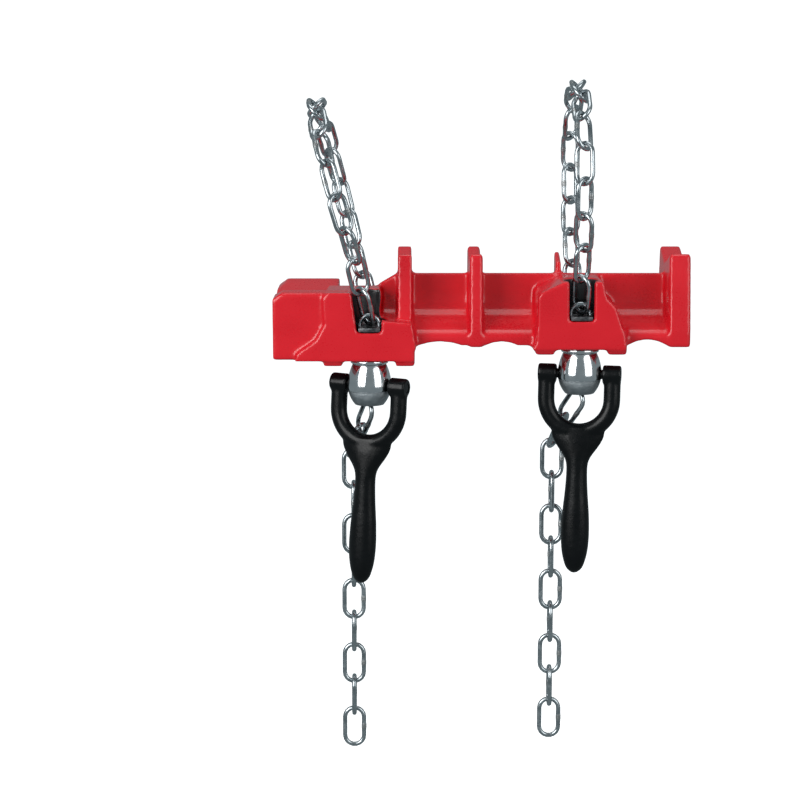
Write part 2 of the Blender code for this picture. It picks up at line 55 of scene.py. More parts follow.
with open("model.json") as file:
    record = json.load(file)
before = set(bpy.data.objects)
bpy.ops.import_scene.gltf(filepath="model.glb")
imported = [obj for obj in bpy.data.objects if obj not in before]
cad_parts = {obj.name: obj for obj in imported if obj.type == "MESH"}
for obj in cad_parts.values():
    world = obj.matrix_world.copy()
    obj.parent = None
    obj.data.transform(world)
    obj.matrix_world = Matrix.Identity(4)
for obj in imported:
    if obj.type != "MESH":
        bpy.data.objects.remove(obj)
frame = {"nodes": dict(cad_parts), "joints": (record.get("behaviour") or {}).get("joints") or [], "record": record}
cad_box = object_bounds()
JOINTS = {joint["name"]: joint for joint in frame["joints"]}
BODY_OF = {node: body for body, nodes in frame["record"]["behaviour"]["bodies"].items() for node in nodes}


# ---------------------------------------------------------------- materials


class Paint:
    """A node material, with short ways to add what its Principled shader reads."""

    def __init__(self, name, **constants):
        self.material = bpy.data.materials.new(name)
        self.material.use_nodes = True
        self.tree = self.material.node_tree
        self.shader = self.tree.nodes["Principled BSDF"]
        for socket, value in constants.items():
            value = (*value, 1) if isinstance(value, tuple) else value
            self.shader.inputs[socket.replace("_", " ")].default_value = value
        self.place = self.add("ShaderNodeTexCoord").outputs["Object"]

    def add(self, kind, **inputs):
        """A node of that kind, with its sockets fed by name."""
        node = self.tree.nodes.new(kind)
        for socket, value in inputs.items():
            self.feed(node.inputs[socket.replace("_", " ")], value)
        return node

    def feed(self, socket, value):
        """Links a socket to the one given, or sets its constant."""
        if isinstance(value, bpy.types.NodeSocket):
            self.tree.links.new(value, socket)
        else:
            socket.default_value = value

    def noise(self, scale, detail, roughness=0.55, place=None):
        """Noise from 0 to 1; scale is the number of lumps in a metre."""
        node = self.add("ShaderNodeTexNoise", Vector=place or self.place, Scale=scale, Detail=detail)
        node.inputs["Roughness"].default_value = roughness
        return node.outputs["Fac"]

    def spread(self, value, low, high, to_low=0.0, to_high=1.0):
        """Value's range from low to high, taken to another range and clamped."""
        node = self.add("ShaderNodeMapRange", Value=value)
        limits = {"From Min": low, "From Max": high, "To Min": to_low, "To Max": to_high}
        for socket, number in limits.items():
            node.inputs[socket].default_value = number
        return node.outputs["Result"]

    def math(self, operation, first, second=0.0):
        node = self.tree.nodes.new("ShaderNodeMath")
        node.operation = operation
        self.feed(node.inputs[0], first)
        self.feed(node.inputs[1], second)
        return node.outputs[0]

    def part(self, axis):
        """X, Y or Z of the place in the piece's own frame."""
        return self.add("ShaderNodeSeparateXYZ", Vector=self.place).outputs[axis]

    def blend(self, share, first, second):
        """Between two colours, each a socket or three numbers."""
        node = self.tree.nodes.new("ShaderNodeMix")
        node.data_type = "RGBA"
        self.feed(node.inputs["Factor"], share)
        for socket, colour in ((node.inputs[6], first), (node.inputs[7], second)):
            self.feed(socket, (*colour, 1) if isinstance(colour, tuple) else colour)
        return node.outputs[2]

    def bump(self, height, distance, below=None):
        """A bump of that many metres, on top of another."""
        node = self.add("ShaderNodeBump", Height=height, Distance=distance, Strength=1.0)
        if below:
            self.feed(node.inputs["Normal"], below)
        return node.outputs["Normal"]

    def finish(self, colour, roughness, normal):
        for socket, value in (("Base Color", colour), ("Roughness", roughness), ("Normal", normal)):
            self.feed(self.shader.inputs[socket], value)
        return self.material


def red_enamel():
    """Thick gloss enamel over a sand casting, whose grain shows softly.

    It is paler where edges wear, and darker in the corners as painted shade. The screws' bores are near black, as
    painted shade.
    """
    # painted shade fills each screw's bore, out to these radii
    bore_shade_within, bore_shade_until = 17.9 * MM, 18.5 * MM  # of each screw's axis
    paint = Paint("red_enamel", Coat_Weight=0.45, Coat_Roughness=0.07, Specular_IOR_Level=0.3)
    cloud = paint.noise(14, 2)
    speck = paint.noise(420, 2)
    # pointiness: convex edges are paler with wear, and concave corners get painted shade
    edge_wear_and_corner_shade = paint.add("ShaderNodeNewGeometry").outputs["Pointiness"]
    colour = paint.blend(paint.spread(cloud, 0.3, 0.7), (0.64, 0.007, 0.016), (0.74, 0.010, 0.021))
    colour = paint.blend(paint.spread(edge_wear_and_corner_shade, 0.53, 0.62, 0.0, 0.35), colour, (0.90, 0.060, 0.065))
    # painted shade: darker red in concave corners, where shade falls
    colour = paint.blend(paint.spread(edge_wear_and_corner_shade, 0.47, 0.40, 0.0, 0.5), colour, (0.36, 0.006, 0.014))
    bore_shade = None
    for centre in STATION.values():
        across = [paint.math("SUBTRACT", paint.part(axis), centre[i]) for i, axis in enumerate("XY")]
        away = paint.math("SQRT", paint.math("ADD", *(paint.math("MULTIPLY", d, d) for d in across)))
        in_bore_shade = paint.spread(away, bore_shade_within, bore_shade_until, 1.0, 0.0)
        bore_shade = paint.math("MAXIMUM", bore_shade, in_bore_shade) if bore_shade else in_bore_shade
    # painted shade: the bores go near black, standing in for the shade deep in the notches
    colour = paint.blend(bore_shade, colour, (0.018, 0.018, 0.020))
    roughness = paint.spread(paint.math("ADD", cloud, speck), 0.7, 1.3, 0.24, 0.40)
    grain = paint.bump(paint.noise(330, 4, 0.6), 0.14 * MM)
    normal = paint.bump(paint.noise(55, 2), 0.3 * MM, grain)
    return paint.finish(colour, roughness, normal)


def black_enamel():
    """Baked enamel over a forging that was shot-blasted."""
    paint = Paint("black_enamel", Coat_Weight=0.12, Coat_Roughness=0.08, Specular_IOR_Level=0.18)
    cloud = paint.noise(30, 3)
    colour = paint.blend(paint.spread(cloud, 0.3, 0.7), (0.0012, 0.0016, 0.002), (0.003, 0.0038, 0.0045))
    roughness = paint.spread(paint.noise(190, 3), 0.3, 0.7, 0.24, 0.38)
    grain = paint.bump(paint.noise(620, 3, 0.6), 0.1 * MM)
    normal = paint.bump(paint.noise(90, 2), 0.25 * MM, grain)
    return paint.finish(colour, roughness, normal)


def zinc_plate():
    """Zinc on round wire, different on each link, and duller and brown at the link's weld."""
    paint = Paint("zinc_plate", Metallic=1.0)
    chance = paint.add("ShaderNodeObjectInfo").outputs["Random"]
    shift = paint.add("ShaderNodeCombineXYZ", X=chance, Y=paint.math("MULTIPLY", chance, 3.7), Z=chance)
    shifted = paint.add("ShaderNodeVectorMath", Vector=paint.place)
    shifted.operation = "ADD"
    paint.feed(shifted.inputs[1], shift.outputs[0])
    cloud = paint.noise(120, 4, 0.6, shifted.outputs[0])
    scratch = paint.noise(900, 3, 0.6, shifted.outputs[0])
    near = paint.math("ABSOLUTE", paint.part("Z"))
    side = paint.spread(paint.part("X"), 4 * MM, 7 * MM)
    weld = paint.math("MULTIPLY", paint.spread(near, 4.5 * MM, 2 * MM), side)
    colour = paint.blend(paint.spread(cloud, 0.3, 0.7), (0.33, 0.37, 0.39), (0.58, 0.62, 0.64))
    colour = paint.blend(paint.math("MULTIPLY", weld, 0.5), colour, (0.30, 0.28, 0.26))
    dullness = paint.math("ADD", cloud, paint.math("MULTIPLY", weld, 0.5))
    roughness = paint.spread(dullness, 0.3, 0.9, 0.16, 0.42)
    return paint.finish(colour, roughness, paint.bump(scratch, 0.06 * MM))


def bright_plate():
    """Polished plate on turned steel: faint tool marks run round the axis."""
    paint = Paint("bright_plate", Metallic=1.0)
    height_only = paint.add("ShaderNodeCombineXYZ", Z=paint.part("Z")).outputs[0]
    tool_marks = paint.noise(2600, 2, 0.5, height_only)
    cloud = paint.noise(70, 3)
    colour = paint.blend(paint.spread(cloud, 0.3, 0.7), (0.66, 0.68, 0.70), (0.78, 0.79, 0.80))
    roughness = paint.spread(cloud, 0.3, 0.7, 0.08, 0.17)
    return paint.finish(colour, roughness, paint.bump(tool_marks, 0.01 * MM))


def satin_plate():
    """The ball nut's lower half: the same plate over a fine knurl, so that it looks dull."""
    ridges_around, ridge_climb = 64.0, 3600.0  # the climb is in radians of the wave for a metre of height
    paint = Paint("satin_plate", Metallic=1.0)
    around = paint.math("ARCTAN2", paint.part("Y"), paint.part("X"))
    waves = []
    for sign in (1, -1):
        across = paint.math("MULTIPLY", around, ridges_around)
        up = paint.math("MULTIPLY", paint.part("Z"), sign * ridge_climb)
        waves.append(paint.math("SINE", paint.math("ADD", across, up)))
    knurl = paint.math("MULTIPLY", *waves)
    cloud = paint.noise(140, 3)
    colour = paint.blend(paint.spread(cloud, 0.3, 0.7), (0.36, 0.39, 0.41), (0.48, 0.51, 0.53))
    roughness = paint.spread(cloud, 0.3, 0.7, 0.30, 0.42)
    return paint.finish(colour, roughness, paint.bump(knurl, 0.12 * MM))


def dark_steel():
    """Oiled steel with its black scale."""
    paint = Paint("dark_steel", Metallic=1.0)
    cloud = paint.noise(160, 4, 0.6)
    colour = paint.blend(paint.spread(cloud, 0.35, 0.7), (0.085, 0.088, 0.095), (0.24, 0.24, 0.245))
    roughness = paint.spread(cloud, 0.3, 0.7, 0.28, 0.50)
    return paint.finish(colour, roughness, paint.bump(paint.noise(700, 3), 0.08 * MM))


# ---------------------------------------------------------------- shapes


def arc(centre, radius, start, end, steps):
    """Points on an arc, angles in degrees."""
    turns = [radians(start + (end - start) * i / steps) for i in range(steps + 1)]
    return [(centre[0] + radius * cos(t), centre[1] + radius * sin(t)) for t in turns]


def softened(profile, radius, closed=True):
    """A profile whose corners are rounded, up to that radius. Nearly straight ones stay as they are."""
    steps = 3
    straight = -0.97  # the cosine between a corner's two sides
    made, count = [], len(profile)
    for i, point in enumerate(profile):
        here = Vector(point)
        if not closed and i in (0, count - 1):
            made.append(here)
            continue
        before, after = Vector(profile[i - 1]) - here, Vector(profile[(i + 1) % count]) - here
        reach = min(radius, before.length * 0.45, after.length * 0.45)
        before.normalize()
        after.normalize()
        if before.dot(after) < straight:
            made.append(here)
            continue
        first, last = here + before * reach, here + after * reach
        for k in range(steps + 1):
            t = k / steps
            made.append(first * (1 - t) ** 2 + here * 2 * t * (1 - t) + last * t**2)
    return [(p.x, p.y) for p in made]


def bar(radius, start, end):
    """The profile of a round bar between two places on its axis."""
    return [(0, start), (radius, start), (radius, end), (0, end)]


def turned(profile, steps, closed=True):
    """A bmesh of a profile of (radius, height) points turned about Z."""
    bm = bmesh.new()
    verts = [bm.verts.new((r, 0, z)) for r, z in profile]
    pairs = list(zip(verts, verts[1:], strict=False)) + ([(verts[-1], verts[0])] if closed else [])
    edges = [bm.edges.new(pair) for pair in pairs]
    round_z = {"axis": (0, 0, 1), "cent": (0, 0, 0), "angle": 2 * pi}
    bmesh.ops.spin(bm, geom=verts + edges, steps=steps, use_merge=True, **round_z)
    bmesh.ops.remove_doubles(bm, verts=bm.verts, dist=1e-7)
    return bm


def tube(centres, halves, sides, closed):
    """Elliptical rings swept along a path in the XZ plane; halves are (in the plane, across it)."""
    bm = bmesh.new()
    rings = []
    count = len(centres)
    for i, (x, z) in enumerate(centres):
        before = centres[(i - 1) % count] if closed or i else (x, z)
        after = centres[(i + 1) % count] if closed or i + 1 < count else (x, z)
        way = Vector((after[0] - before[0], 0, after[1] - before[1])).normalized()
        across = Vector((way.z, 0, -way.x))
        wide, deep = halves[i]
        turns = [2 * pi * (k + 0.5) / sides for k in range(sides)]
        ring = [across * wide * cos(t) + Vector((x, deep * sin(t), z)) for t in turns]
        rings.append([bm.verts.new(p) for p in ring])
    following = rings[1:] + (rings[:1] if closed else [])
    for ring, after in zip(rings, following, strict=False):
        for k in range(sides):
            bm.faces.new((ring[k], ring[(k + 1) % sides], after[(k + 1) % sides], after[k]))
    if not closed:
        bm.faces.new(rings[0])
        bm.faces.new(rings[-1])
    return bm


def block(low, high):
    """A box between two corners."""
    bm = bmesh.new()
    bmesh.ops.create_cube(bm, size=1)
    middle, size = (Vector(low) + Vector(high)) / 2, Vector(high) - Vector(low)
    bmesh.ops.scale(bm, verts=bm.verts, vec=size)
    bmesh.ops.translate(bm, verts=bm.verts, vec=middle)
    return bm


def smooth_through(rows, between):
    """More rows between the given ones, on a Catmull-Rom curve through them."""
    rows = np.array(rows, float)
    padded = np.vstack([2 * rows[0] - rows[1], rows, 2 * rows[-1] - rows[-2]])
    made = []
    for i in range(1, len(padded) - 2):
        a, b, c, d = padded[i - 1 : i + 3]
        for k in range(between):
            t = k / between
            square, cube = 2 * a - 5 * b + 4 * c - d, 3 * b - a - 3 * c + d
            made.append(0.5 * (2 * b + (c - a) * t + square * t**2 + cube * t**3))
    return [*made, rows[-1]]


def mesh_of(name, bm, *paints, sharp=35):
    """A mesh with smooth shading, but with edges sharper than that many degrees kept crisp."""
    bmesh.ops.recalc_face_normals(bm, faces=bm.faces)
    mesh = bpy.data.meshes.new(name)
    bm.to_mesh(mesh)
    bm.free()
    mesh.shade_smooth()
    if sharp:
        mesh.set_sharp_from_angle(angle=radians(sharp))
    for paint in paints:
        mesh.materials.append(paint)
    return mesh


def place(name, mesh, at, body, slot, node):
    """Puts a mesh in the row frame as a piece that rides on a body and stands for a CAD node."""
    made = bpy.data.objects.new(name, mesh)
    made.matrix_world = at
    bpy.context.collection.objects.link(made)
    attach(made, body)
    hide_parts(node)


def shaped(mesh, steps, tools=()):
    """The mesh after Booleans and other modifiers.

    Tools are meshes to cut away or (mesh, operation), and steps are (type, settings).
    """
    made = bpy.data.objects.new("shaping", mesh)
    bpy.context.collection.objects.link(made)
    helpers = []
    for tool in tools:
        cutter, operation = tool if isinstance(tool, tuple) else (tool, "DIFFERENCE")
        helper = bpy.data.objects.new("tool", cutter)
        bpy.context.collection.objects.link(helper)
        helpers.append(helper)
        step = made.modifiers.new("cut", "BOOLEAN")
        step.operation, step.object, step.solver = operation, helper, "EXACT"
    for kind, settings in steps:
        step = made.modifiers.new(kind.lower(), kind)
        for key, value in settings.items():
            setattr(step, key, value)
    bpy.context.view_layer.update()
    result = bpy.data.meshes.new_from_object(made.evaluated_get(bpy.context.evaluated_depsgraph_get()))
    for old in [made, *helpers]:
        bpy.data.objects.remove(old)
    return result


def moved(bm, matrix):
    """The bmesh itself, transformed."""
    bmesh.ops.transform(bm, matrix=matrix, verts=bm.verts)
    return bm


# ---------------------------------------------------------------- casting

CASTING_VOXEL = 1.8 * MM  # sets how far the edges are rounded


def add_casting(paint):
    """The CAD casting with every edge and inner corner rounded, as sand and paint leave them."""
    bm = bmesh.new()
    bm.from_mesh(frame["nodes"]["base_casting"].data)
    bmesh.ops.remove_doubles(bm, verts=bm.verts, dist=1e-6)
    rough = mesh_of("rough_casting", bm, sharp=None)
    steps = [
        ("REMESH", {"mode": "VOXEL", "voxel_size": CASTING_VOXEL, "use_smooth_shade": True}),
        ("SMOOTH", {"factor": 0.6, "iterations": 7}),
    ]
    mesh = shaped(rough, steps)
    mesh.name = "saddle_casting"
    mesh.materials.clear()
    mesh.materials.append(paint)
    mesh.shade_smooth()
    place("saddle_casting", mesh, Matrix.Identity(4), "base", "red_enamel", "base_casting")


# ---------------------------------------------------------------- chain

WIRE_RADIUS = 2.5 * MM
PITCH = 36.5 * MM
LINK_HALF_WIDTH = 10.5 * MM  # to the wire's centre
SEPARATION = 5.7 * MM  # between the centres of two wires that bear on each other
WELD_REACH = 5 * MM  # each way from the weld's middle
WELD_SWELL, WELD_SEAM = 0.16, 0.10  # shares of the wire's radius

# The loops' route, as in the CAD source
PIPE_RADIUS, SADDLE_SLOPE = 84.15 * MM, 17  # degrees
PIPE_CENTRE_Z = PIPE_RADIUS / cos(radians(SADDLE_SLOPE))
LOOP_RADIUS = 97.5 * MM
LOOP_LINKS, FRONT_LINKS = 16, 4
HALVINGS = 40  # to find where each link ends on the route
LOOP_LEAN = {"left": 14, "right": 0.5}  # degrees
LOOP_BOW = {"left": 3 * MM, "right": 0.0}  # of the front, to the right
BOW_HEIGHT = 160 * MM
SEAT_Z = -50.5 * MM
ROLL = 45  # degrees, to one hand and the other by turns
FIRST_ROLL = {"left": -51, "right": -45}  # on the left it clears the loose link below as that rises
LOOP_START_LIFT = 2.8 * MM + SEPARATION / 2  # above the screw's seat
REAR_END = (52 * MM, -44 * MM)  # Y and Z


def link_mesh(paint):
    """One welded link, long along Z and wide along X, with its weld at the middle of the +X side."""
    crown = (PITCH + SEPARATION) / 2 - LINK_HALF_WIDTH
    shares = (0.6, 0.3, 0.2, 0.13, 0.06)  # closer together near the weld
    heights = [crown * t for t in (*shares, 0, *(-t for t in reversed(shares)))]
    bends, sides = 9, 14
    upper = [(x, z + crown) for x, z in arc((0, 0), LINK_HALF_WIDTH, 0, 180, bends)]
    lower = [(x, z - crown) for x, z in arc((0, 0), LINK_HALF_WIDTH, 180, 360, bends)]
    left = [(-LINK_HALF_WIDTH, z) for z in heights]
    right = [(LINK_HALF_WIDTH, z) for z in reversed(heights)]
    path = upper + left + lower + right
    halves = []
    for x, z in path:
        bead = 0.0
        if x > LINK_HALF_WIDTH - MM and abs(z) < WELD_REACH:
            seam = WELD_SEAM if abs(z) < 0.1 * MM else 0
            bead = WELD_SWELL * cos(pi / 2 * z / WELD_REACH) ** 2 - seam
        halves.append((WIRE_RADIUS * (1 + bead),) * 2)
    return mesh_of("welded_link", tube(path, halves, sides, True), paint, sharp=None)


def link_frame(node):
    """Where a CAD link is: its vertices' own long, wide and thin directions."""
    points = np.array([v.co for v in frame["nodes"][node].data.vertices], float)
    middle = points.mean(0)
    _, ways = np.linalg.eigh(np.cov((points - middle).T))
    along, across = Vector(ways[:, 2]), Vector(ways[:, 1])
    along *= 1 if along.z >= 0 else -1
    across *= 1 if across.x >= 0 else -1
    turn = Matrix((across, along.cross(across), along)).transposed()
    return Matrix.Translation(middle) @ turn.to_4x4()


def loop_joints(side):
    """The joints between the loop's links: up from the screw, round the pipe, down to the rear ears."""
    centre = Vector((0, PIPE_CENTRE_Z))
    start = Vector((STATION[side].y, SEAT_Z + LOOP_START_LIFT))
    end = Vector(REAR_END)

    def tangent(point, hand):
        """The angle at which a straight run from the point touches the loop."""
        away = point - centre
        return (atan2(away.y, away.x) - hand * acos(LOOP_RADIUS / away.length)) % (2 * pi)

    first, last = tangent(start, 1), tangent(end, -1)
    last -= 2 * pi if last > first else 0
    touch = centre + LOOP_RADIUS * Vector((cos(first), sin(first)))
    leave = centre + LOOP_RADIUS * Vector((cos(last), sin(last)))
    straight, bend = (touch - start).length, LOOP_RADIUS * (first - last)
    onward = (end - leave).normalized()

    def route(s):
        """Y and Z after a length s of the way."""
        if s < straight:
            return start.lerp(touch, s / straight)
        if s < straight + bend:
            angle = first - (s - straight) / LOOP_RADIUS
            return centre + LOOP_RADIUS * Vector((cos(angle), sin(angle)))
        return leave + onward * (s - straight - bend)

    lean = Matrix.Rotation(-radians(LOOP_LEAN[side]), 3, "Y")
    seat = Vector((0, STATION[side].y, SEAT_Z))
    shift = Vector((STATION[side].x, 0, SEAT[side] - SEAT_Z))

    def at(s):
        """The same place on this side's own loop, which leans and bows."""
        y, z = route(s)
        share = min(1, (z - SEAT_Z) / BOW_HEIGHT) if y < 0 else 1
        bow = Vector((LOOP_BOW[side] * sin(pi * share), 0, 0))
        return seat + lean @ (Vector((0, y, z)) - seat) + bow + shift

    reached, found = 0.0, [at(0.0)]
    for _ in range(LOOP_LINKS):
        low, high = reached, reached + 1.5 * PITCH
        for _ in range(HALVINGS):
            middle = (low + high) / 2
            if (at(middle) - found[-1]).length < PITCH:
                low = middle
            else:
                high = middle
        reached = low
        found.append(at(reached))
    return found


def wrap_frame(low, high, middle, roll):
    """Where a link between two joints lies on the pipe round that middle, rolled about its own length."""
    along = (high - low).normalized()
    out = (low + high) / 2 - middle
    out.x = 0
    normal = (out - along * out.dot(along)).normalized()
    normal.rotate(Matrix.Rotation(radians(roll), 3, along))
    turn = Matrix((normal.cross(along), normal, along)).transposed()
    return Matrix.Translation((low + high) / 2) @ turn.to_4x4()


def add_chains(zinc):
    """Every loose link, then the links on the pipe, which are one CAD node a side."""
    link = link_mesh(zinc)
    for node in sorted(frame["nodes"]):
        if "_link_" in node:
            place(f"welded_{node}", link, link_frame(node), BODY_OF[node], "zinc_plate", node)
    for side in SIDES:
        joints = loop_joints(side)
        middle = Vector((STATION[side].x, 0, PIPE_CENTRE_Z + SEAT[side] - SEAT_Z))
        for i in range(FRONT_LINKS, LOOP_LINKS):
            roll = ROLL if i % 2 else -ROLL
            if i == FRONT_LINKS:
                roll = FIRST_ROLL[side]
            at = wrap_frame(joints[i], joints[i + 1], middle, roll)
            place(f"wrap_link_{side}_{i + 1}", link, at, "base", "zinc_plate", f"chain_wrap_{side}")


# ---------------------------------------------------------------- clamp stations

CHAIN_BORE = 13.4 * MM
SCREW_RADIUS = 15.2 * MM
SCREW_LENGTH = 70 * MM
SCREW_PLAIN = 24 * MM  # of its length, at the top, has no thread
THREAD_STEP, THREAD_DEPTH = 2 * MM, 0.9 * MM
CAP_THICKNESS, RIM_HEIGHT = 6 * MM, 3 * MM
KEY_HALF_WIDTH, KEY_HEIGHT = 11.2 * MM, 3.9 * MM
KEY_REACH, KEY_ROOT = 19.6 * MM, 13 * MM  # in front of the screw's axis
CHAIN_HOLE_RADIUS = 3 * MM  # at the middle of the cap
SLOT_HALF_WIDTH, SLOT_REACH = 3.1 * MM, 12.8 * MM
RIM_GATE = 11.5 * MM  # half the width of the opening in the rim's front
BALL_RADIUS = 23.4 * MM
NUT_TOP_RADIUS, NUT_TOP_Z = 17.4 * MM, 23.5 * MM
LIP_RADIUS, LIP_Z = 15.8 * MM, -20.5 * MM
UPPER_BULGE, LOWER_BULGE = 1.3 * MM, 2 * MM
DULL_BELOW = -5 * MM  # the ball's polish ends here, at a small step
DULL_STEP, STEP_HEIGHT = 0.35 * MM, 0.5 * MM
NUT_BORE_Z = -11 * MM  # the bottom of the screw's bore
PIN_RADIUS, PIN_START, PIN_END = 5 * MM, 19.5 * MM, 43.5 * MM
NUT_HOLE = (19 * MM, 30 * MM)  # from the nut's axis, out through its surface
EYE_HOLE = (20 * MM, 50 * MM)  # right through the yoke's arm
EYE_RADIUS = 10 * MM
ARM_X, ARM_RADIUS, ARM_STRAIGHT = 35 * MM, 9 * MM, 27 * MM
ARM_HALF_DEPTH = 8.2 * MM  # so that the chain clears the arms
HANDLE_LEAN = 4  # degrees
HANDLE_VOXEL = 1.1 * MM  # sets how far the edges are rounded
GAP = 0.3 * MM

# Along each anchor pin, from a place near its middle
ANCHOR_TOP, ANCHOR_HEAD, ANCHOR_END, COTTER_AT = -24.5 * MM, -21 * MM, 28.5 * MM, 25.2 * MM

# The trunnions' centre on each screw's axis, and the height of each screw's seat
STATION = {side: Vector(JOINTS[f"handle_{side}_swing"]["pos_m"]) for side in SIDES}
SEAT = {side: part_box(f"chain_screw_{side}")[0].z + SCREW_LENGTH for side in SIDES}


def trunnion_frame(side):
    """At the nut's centre, X along the trunnions and Y level."""
    across = -Vector(JOINTS[f"handle_{side}_swing"]["axis"])
    level = Vector((-across.y, across.x, 0)).normalized()
    turn = Matrix((across, level, across.cross(level))).transposed()
    return Matrix.Translation(STATION[side]) @ turn.to_4x4()


def rod(profile, sign):
    """A profile of (radius, distance) turned about the trunnions' axis, on one side of the nut."""
    return moved(turned(profile, 40, False), Matrix.Rotation(sign * pi / 2, 4, "Y"))


def bulged(start, end, bulge, steps):
    """Points on a curve that stands out from its chord, to the right of its way, by bulge."""
    first, chord = Vector(start), Vector(end) - Vector(start)
    out = Vector((chord.y, -chord.x)).normalized()
    shares = [i / steps for i in range(steps + 1)]
    return [(*(first + chord * t + out * bulge * 4 * t * (1 - t)),) for t in shares]


def add_nut(side, bright, satin):
    """Ball nut: polished above, finely knurled below a small step, with two holes for its trunnions."""
    flank = bulged((LIP_RADIUS, LIP_Z), (BALL_RADIUS, 0), LOWER_BULGE, 24)
    lower = [(r - DULL_STEP, z) for r, z in flank if z < DULL_BELOW - STEP_HEIGHT]
    upper = [(r, z) for r, z in flank if z > DULL_BELOW]
    upper += bulged((BALL_RADIUS, 0), (NUT_TOP_RADIUS, NUT_TOP_Z), UPPER_BULGE, 18)[1:-1]
    rim = [upper[-1], (NUT_TOP_RADIUS, NUT_TOP_Z), (CHAIN_BORE + 2 * MM, NUT_TOP_Z)]
    profile = lower + upper[:-1] + softened(rim, 1.2 * MM, False)
    bore = SCREW_RADIUS + GAP
    profile += [(bore, NUT_TOP_Z - MM), (bore, NUT_BORE_Z)]
    profile += [(CHAIN_BORE, NUT_BORE_Z - 2 * MM), (LIP_RADIUS - MM, LIP_Z)]
    bm = turned(profile, 96)
    for face in bm.faces:
        middle = face.calc_center_median()
        outside = middle.xy.length > LIP_RADIUS - 0.6 * MM
        face.material_index = int(outside and middle.z < DULL_BELOW)
    body = mesh_of("ball_nut", bm, bright, satin)
    axis = trunnion_frame(side)
    axis.translation = (0, 0, 0)
    tools = []
    for sign in (-1, 1):
        hole = rod(bar(PIN_RADIUS + GAP, *NUT_HOLE), sign)
        tools.append(mesh_of("hole", moved(hole, axis)))
    nut = shaped(body, [], tools)
    nut.set_sharp_from_angle(angle=radians(32))
    node, at = f"ball_nut_{side}", Matrix.Translation(STATION[side])
    place(f"{node}_turned", nut, at, f"nut_{side}", "bright_plate", node)


def add_pins(side, black):
    """The two trunnions on which the yoke swings."""
    profile = softened(bar(PIN_RADIUS, PIN_START, PIN_END), 0.8 * MM, False)
    for hand, sign in (("near", 1), ("far", -1)):
        pin = mesh_of("trunnion_pin", rod(profile, sign), black)
        node = f"trunnion_pin_{side}_{hand}"
        place(f"{node}_turned", pin, trunnion_frame(side), f"nut_{side}", "black_enamel", node)


def yoke_mesh(black):
    """Forged yoke: a U of round bar whose crotch runs smoothly into a neck and a swelling grip."""
    lower = arc((0, -ARM_STRAIGHT), ARM_X, 180, 360, 36)
    path = [(-ARM_X, 0), (-ARM_X, -ARM_STRAIGHT / 2)] + lower + [(ARM_X, -ARM_STRAIGHT / 2), (ARM_X, 0)]
    arms = tube(path, [(ARM_RADIUS, ARM_HALF_DEPTH)] * len(path), 32, False)
    rows = [  # mm below the trunnions, and half the width and depth there
        (57, 29, 8), (66, 28, 8.6), (73, 25, 9), (80, 20.5, 9.2), (87, 15.5, 9.4), (94, 12.2, 9.6),
        (104, 11.2, 9.8), (125, 12.2, 10.5), (150, 14.4, 11.6), (172, 15.2, 12), (190, 14, 11.2),
        (203, 11, 9.2), (210, 7.6, 6.6), (214, 2.5, 2.5),
    ]
    rows = smooth_through(rows, 5)
    grip = tube([(0, -z * MM) for z, _, _ in rows], [(w * MM, d * MM) for _, w, d in rows], 40, False)
    tools = [(mesh_of("grip", grip), "UNION")]
    reach = ARM_X + ARM_RADIUS
    eye = softened(bar(EYE_RADIUS, BALL_RADIUS + MM, reach), 1.2 * MM, False)
    for sign in (-1, 1):
        tools.append((mesh_of("eye", rod(eye, sign)), "UNION"))
    steps = [
        ("REMESH", {"mode": "VOXEL", "voxel_size": HANDLE_VOXEL, "use_smooth_shade": True}),
        ("SMOOTH", {"factor": 0.6, "iterations": 9}),
    ]
    solid = shaped(mesh_of("arms", arms), steps, tools)
    hole = bar(PIN_RADIUS + GAP, *EYE_HOLE)
    mesh = shaped(solid, [], [mesh_of("pin_hole", rod(hole, sign)) for sign in (-1, 1)])
    mesh.materials.clear()
    mesh.materials.append(black)
    mesh.shade_smooth()
    mesh.set_sharp_from_angle(angle=radians(50))
    return mesh


def add_handle(side, mesh):
    """A yoke on its trunnions, leaning forward on the chain."""
    at = trunnion_frame(side) @ Matrix.Rotation(-radians(HANDLE_LEAN), 4, "X")
    place(f"yoke_handle_{side}_forged", mesh, at, f"handle_{side}", "black_enamel", f"yoke_handle_{side}")


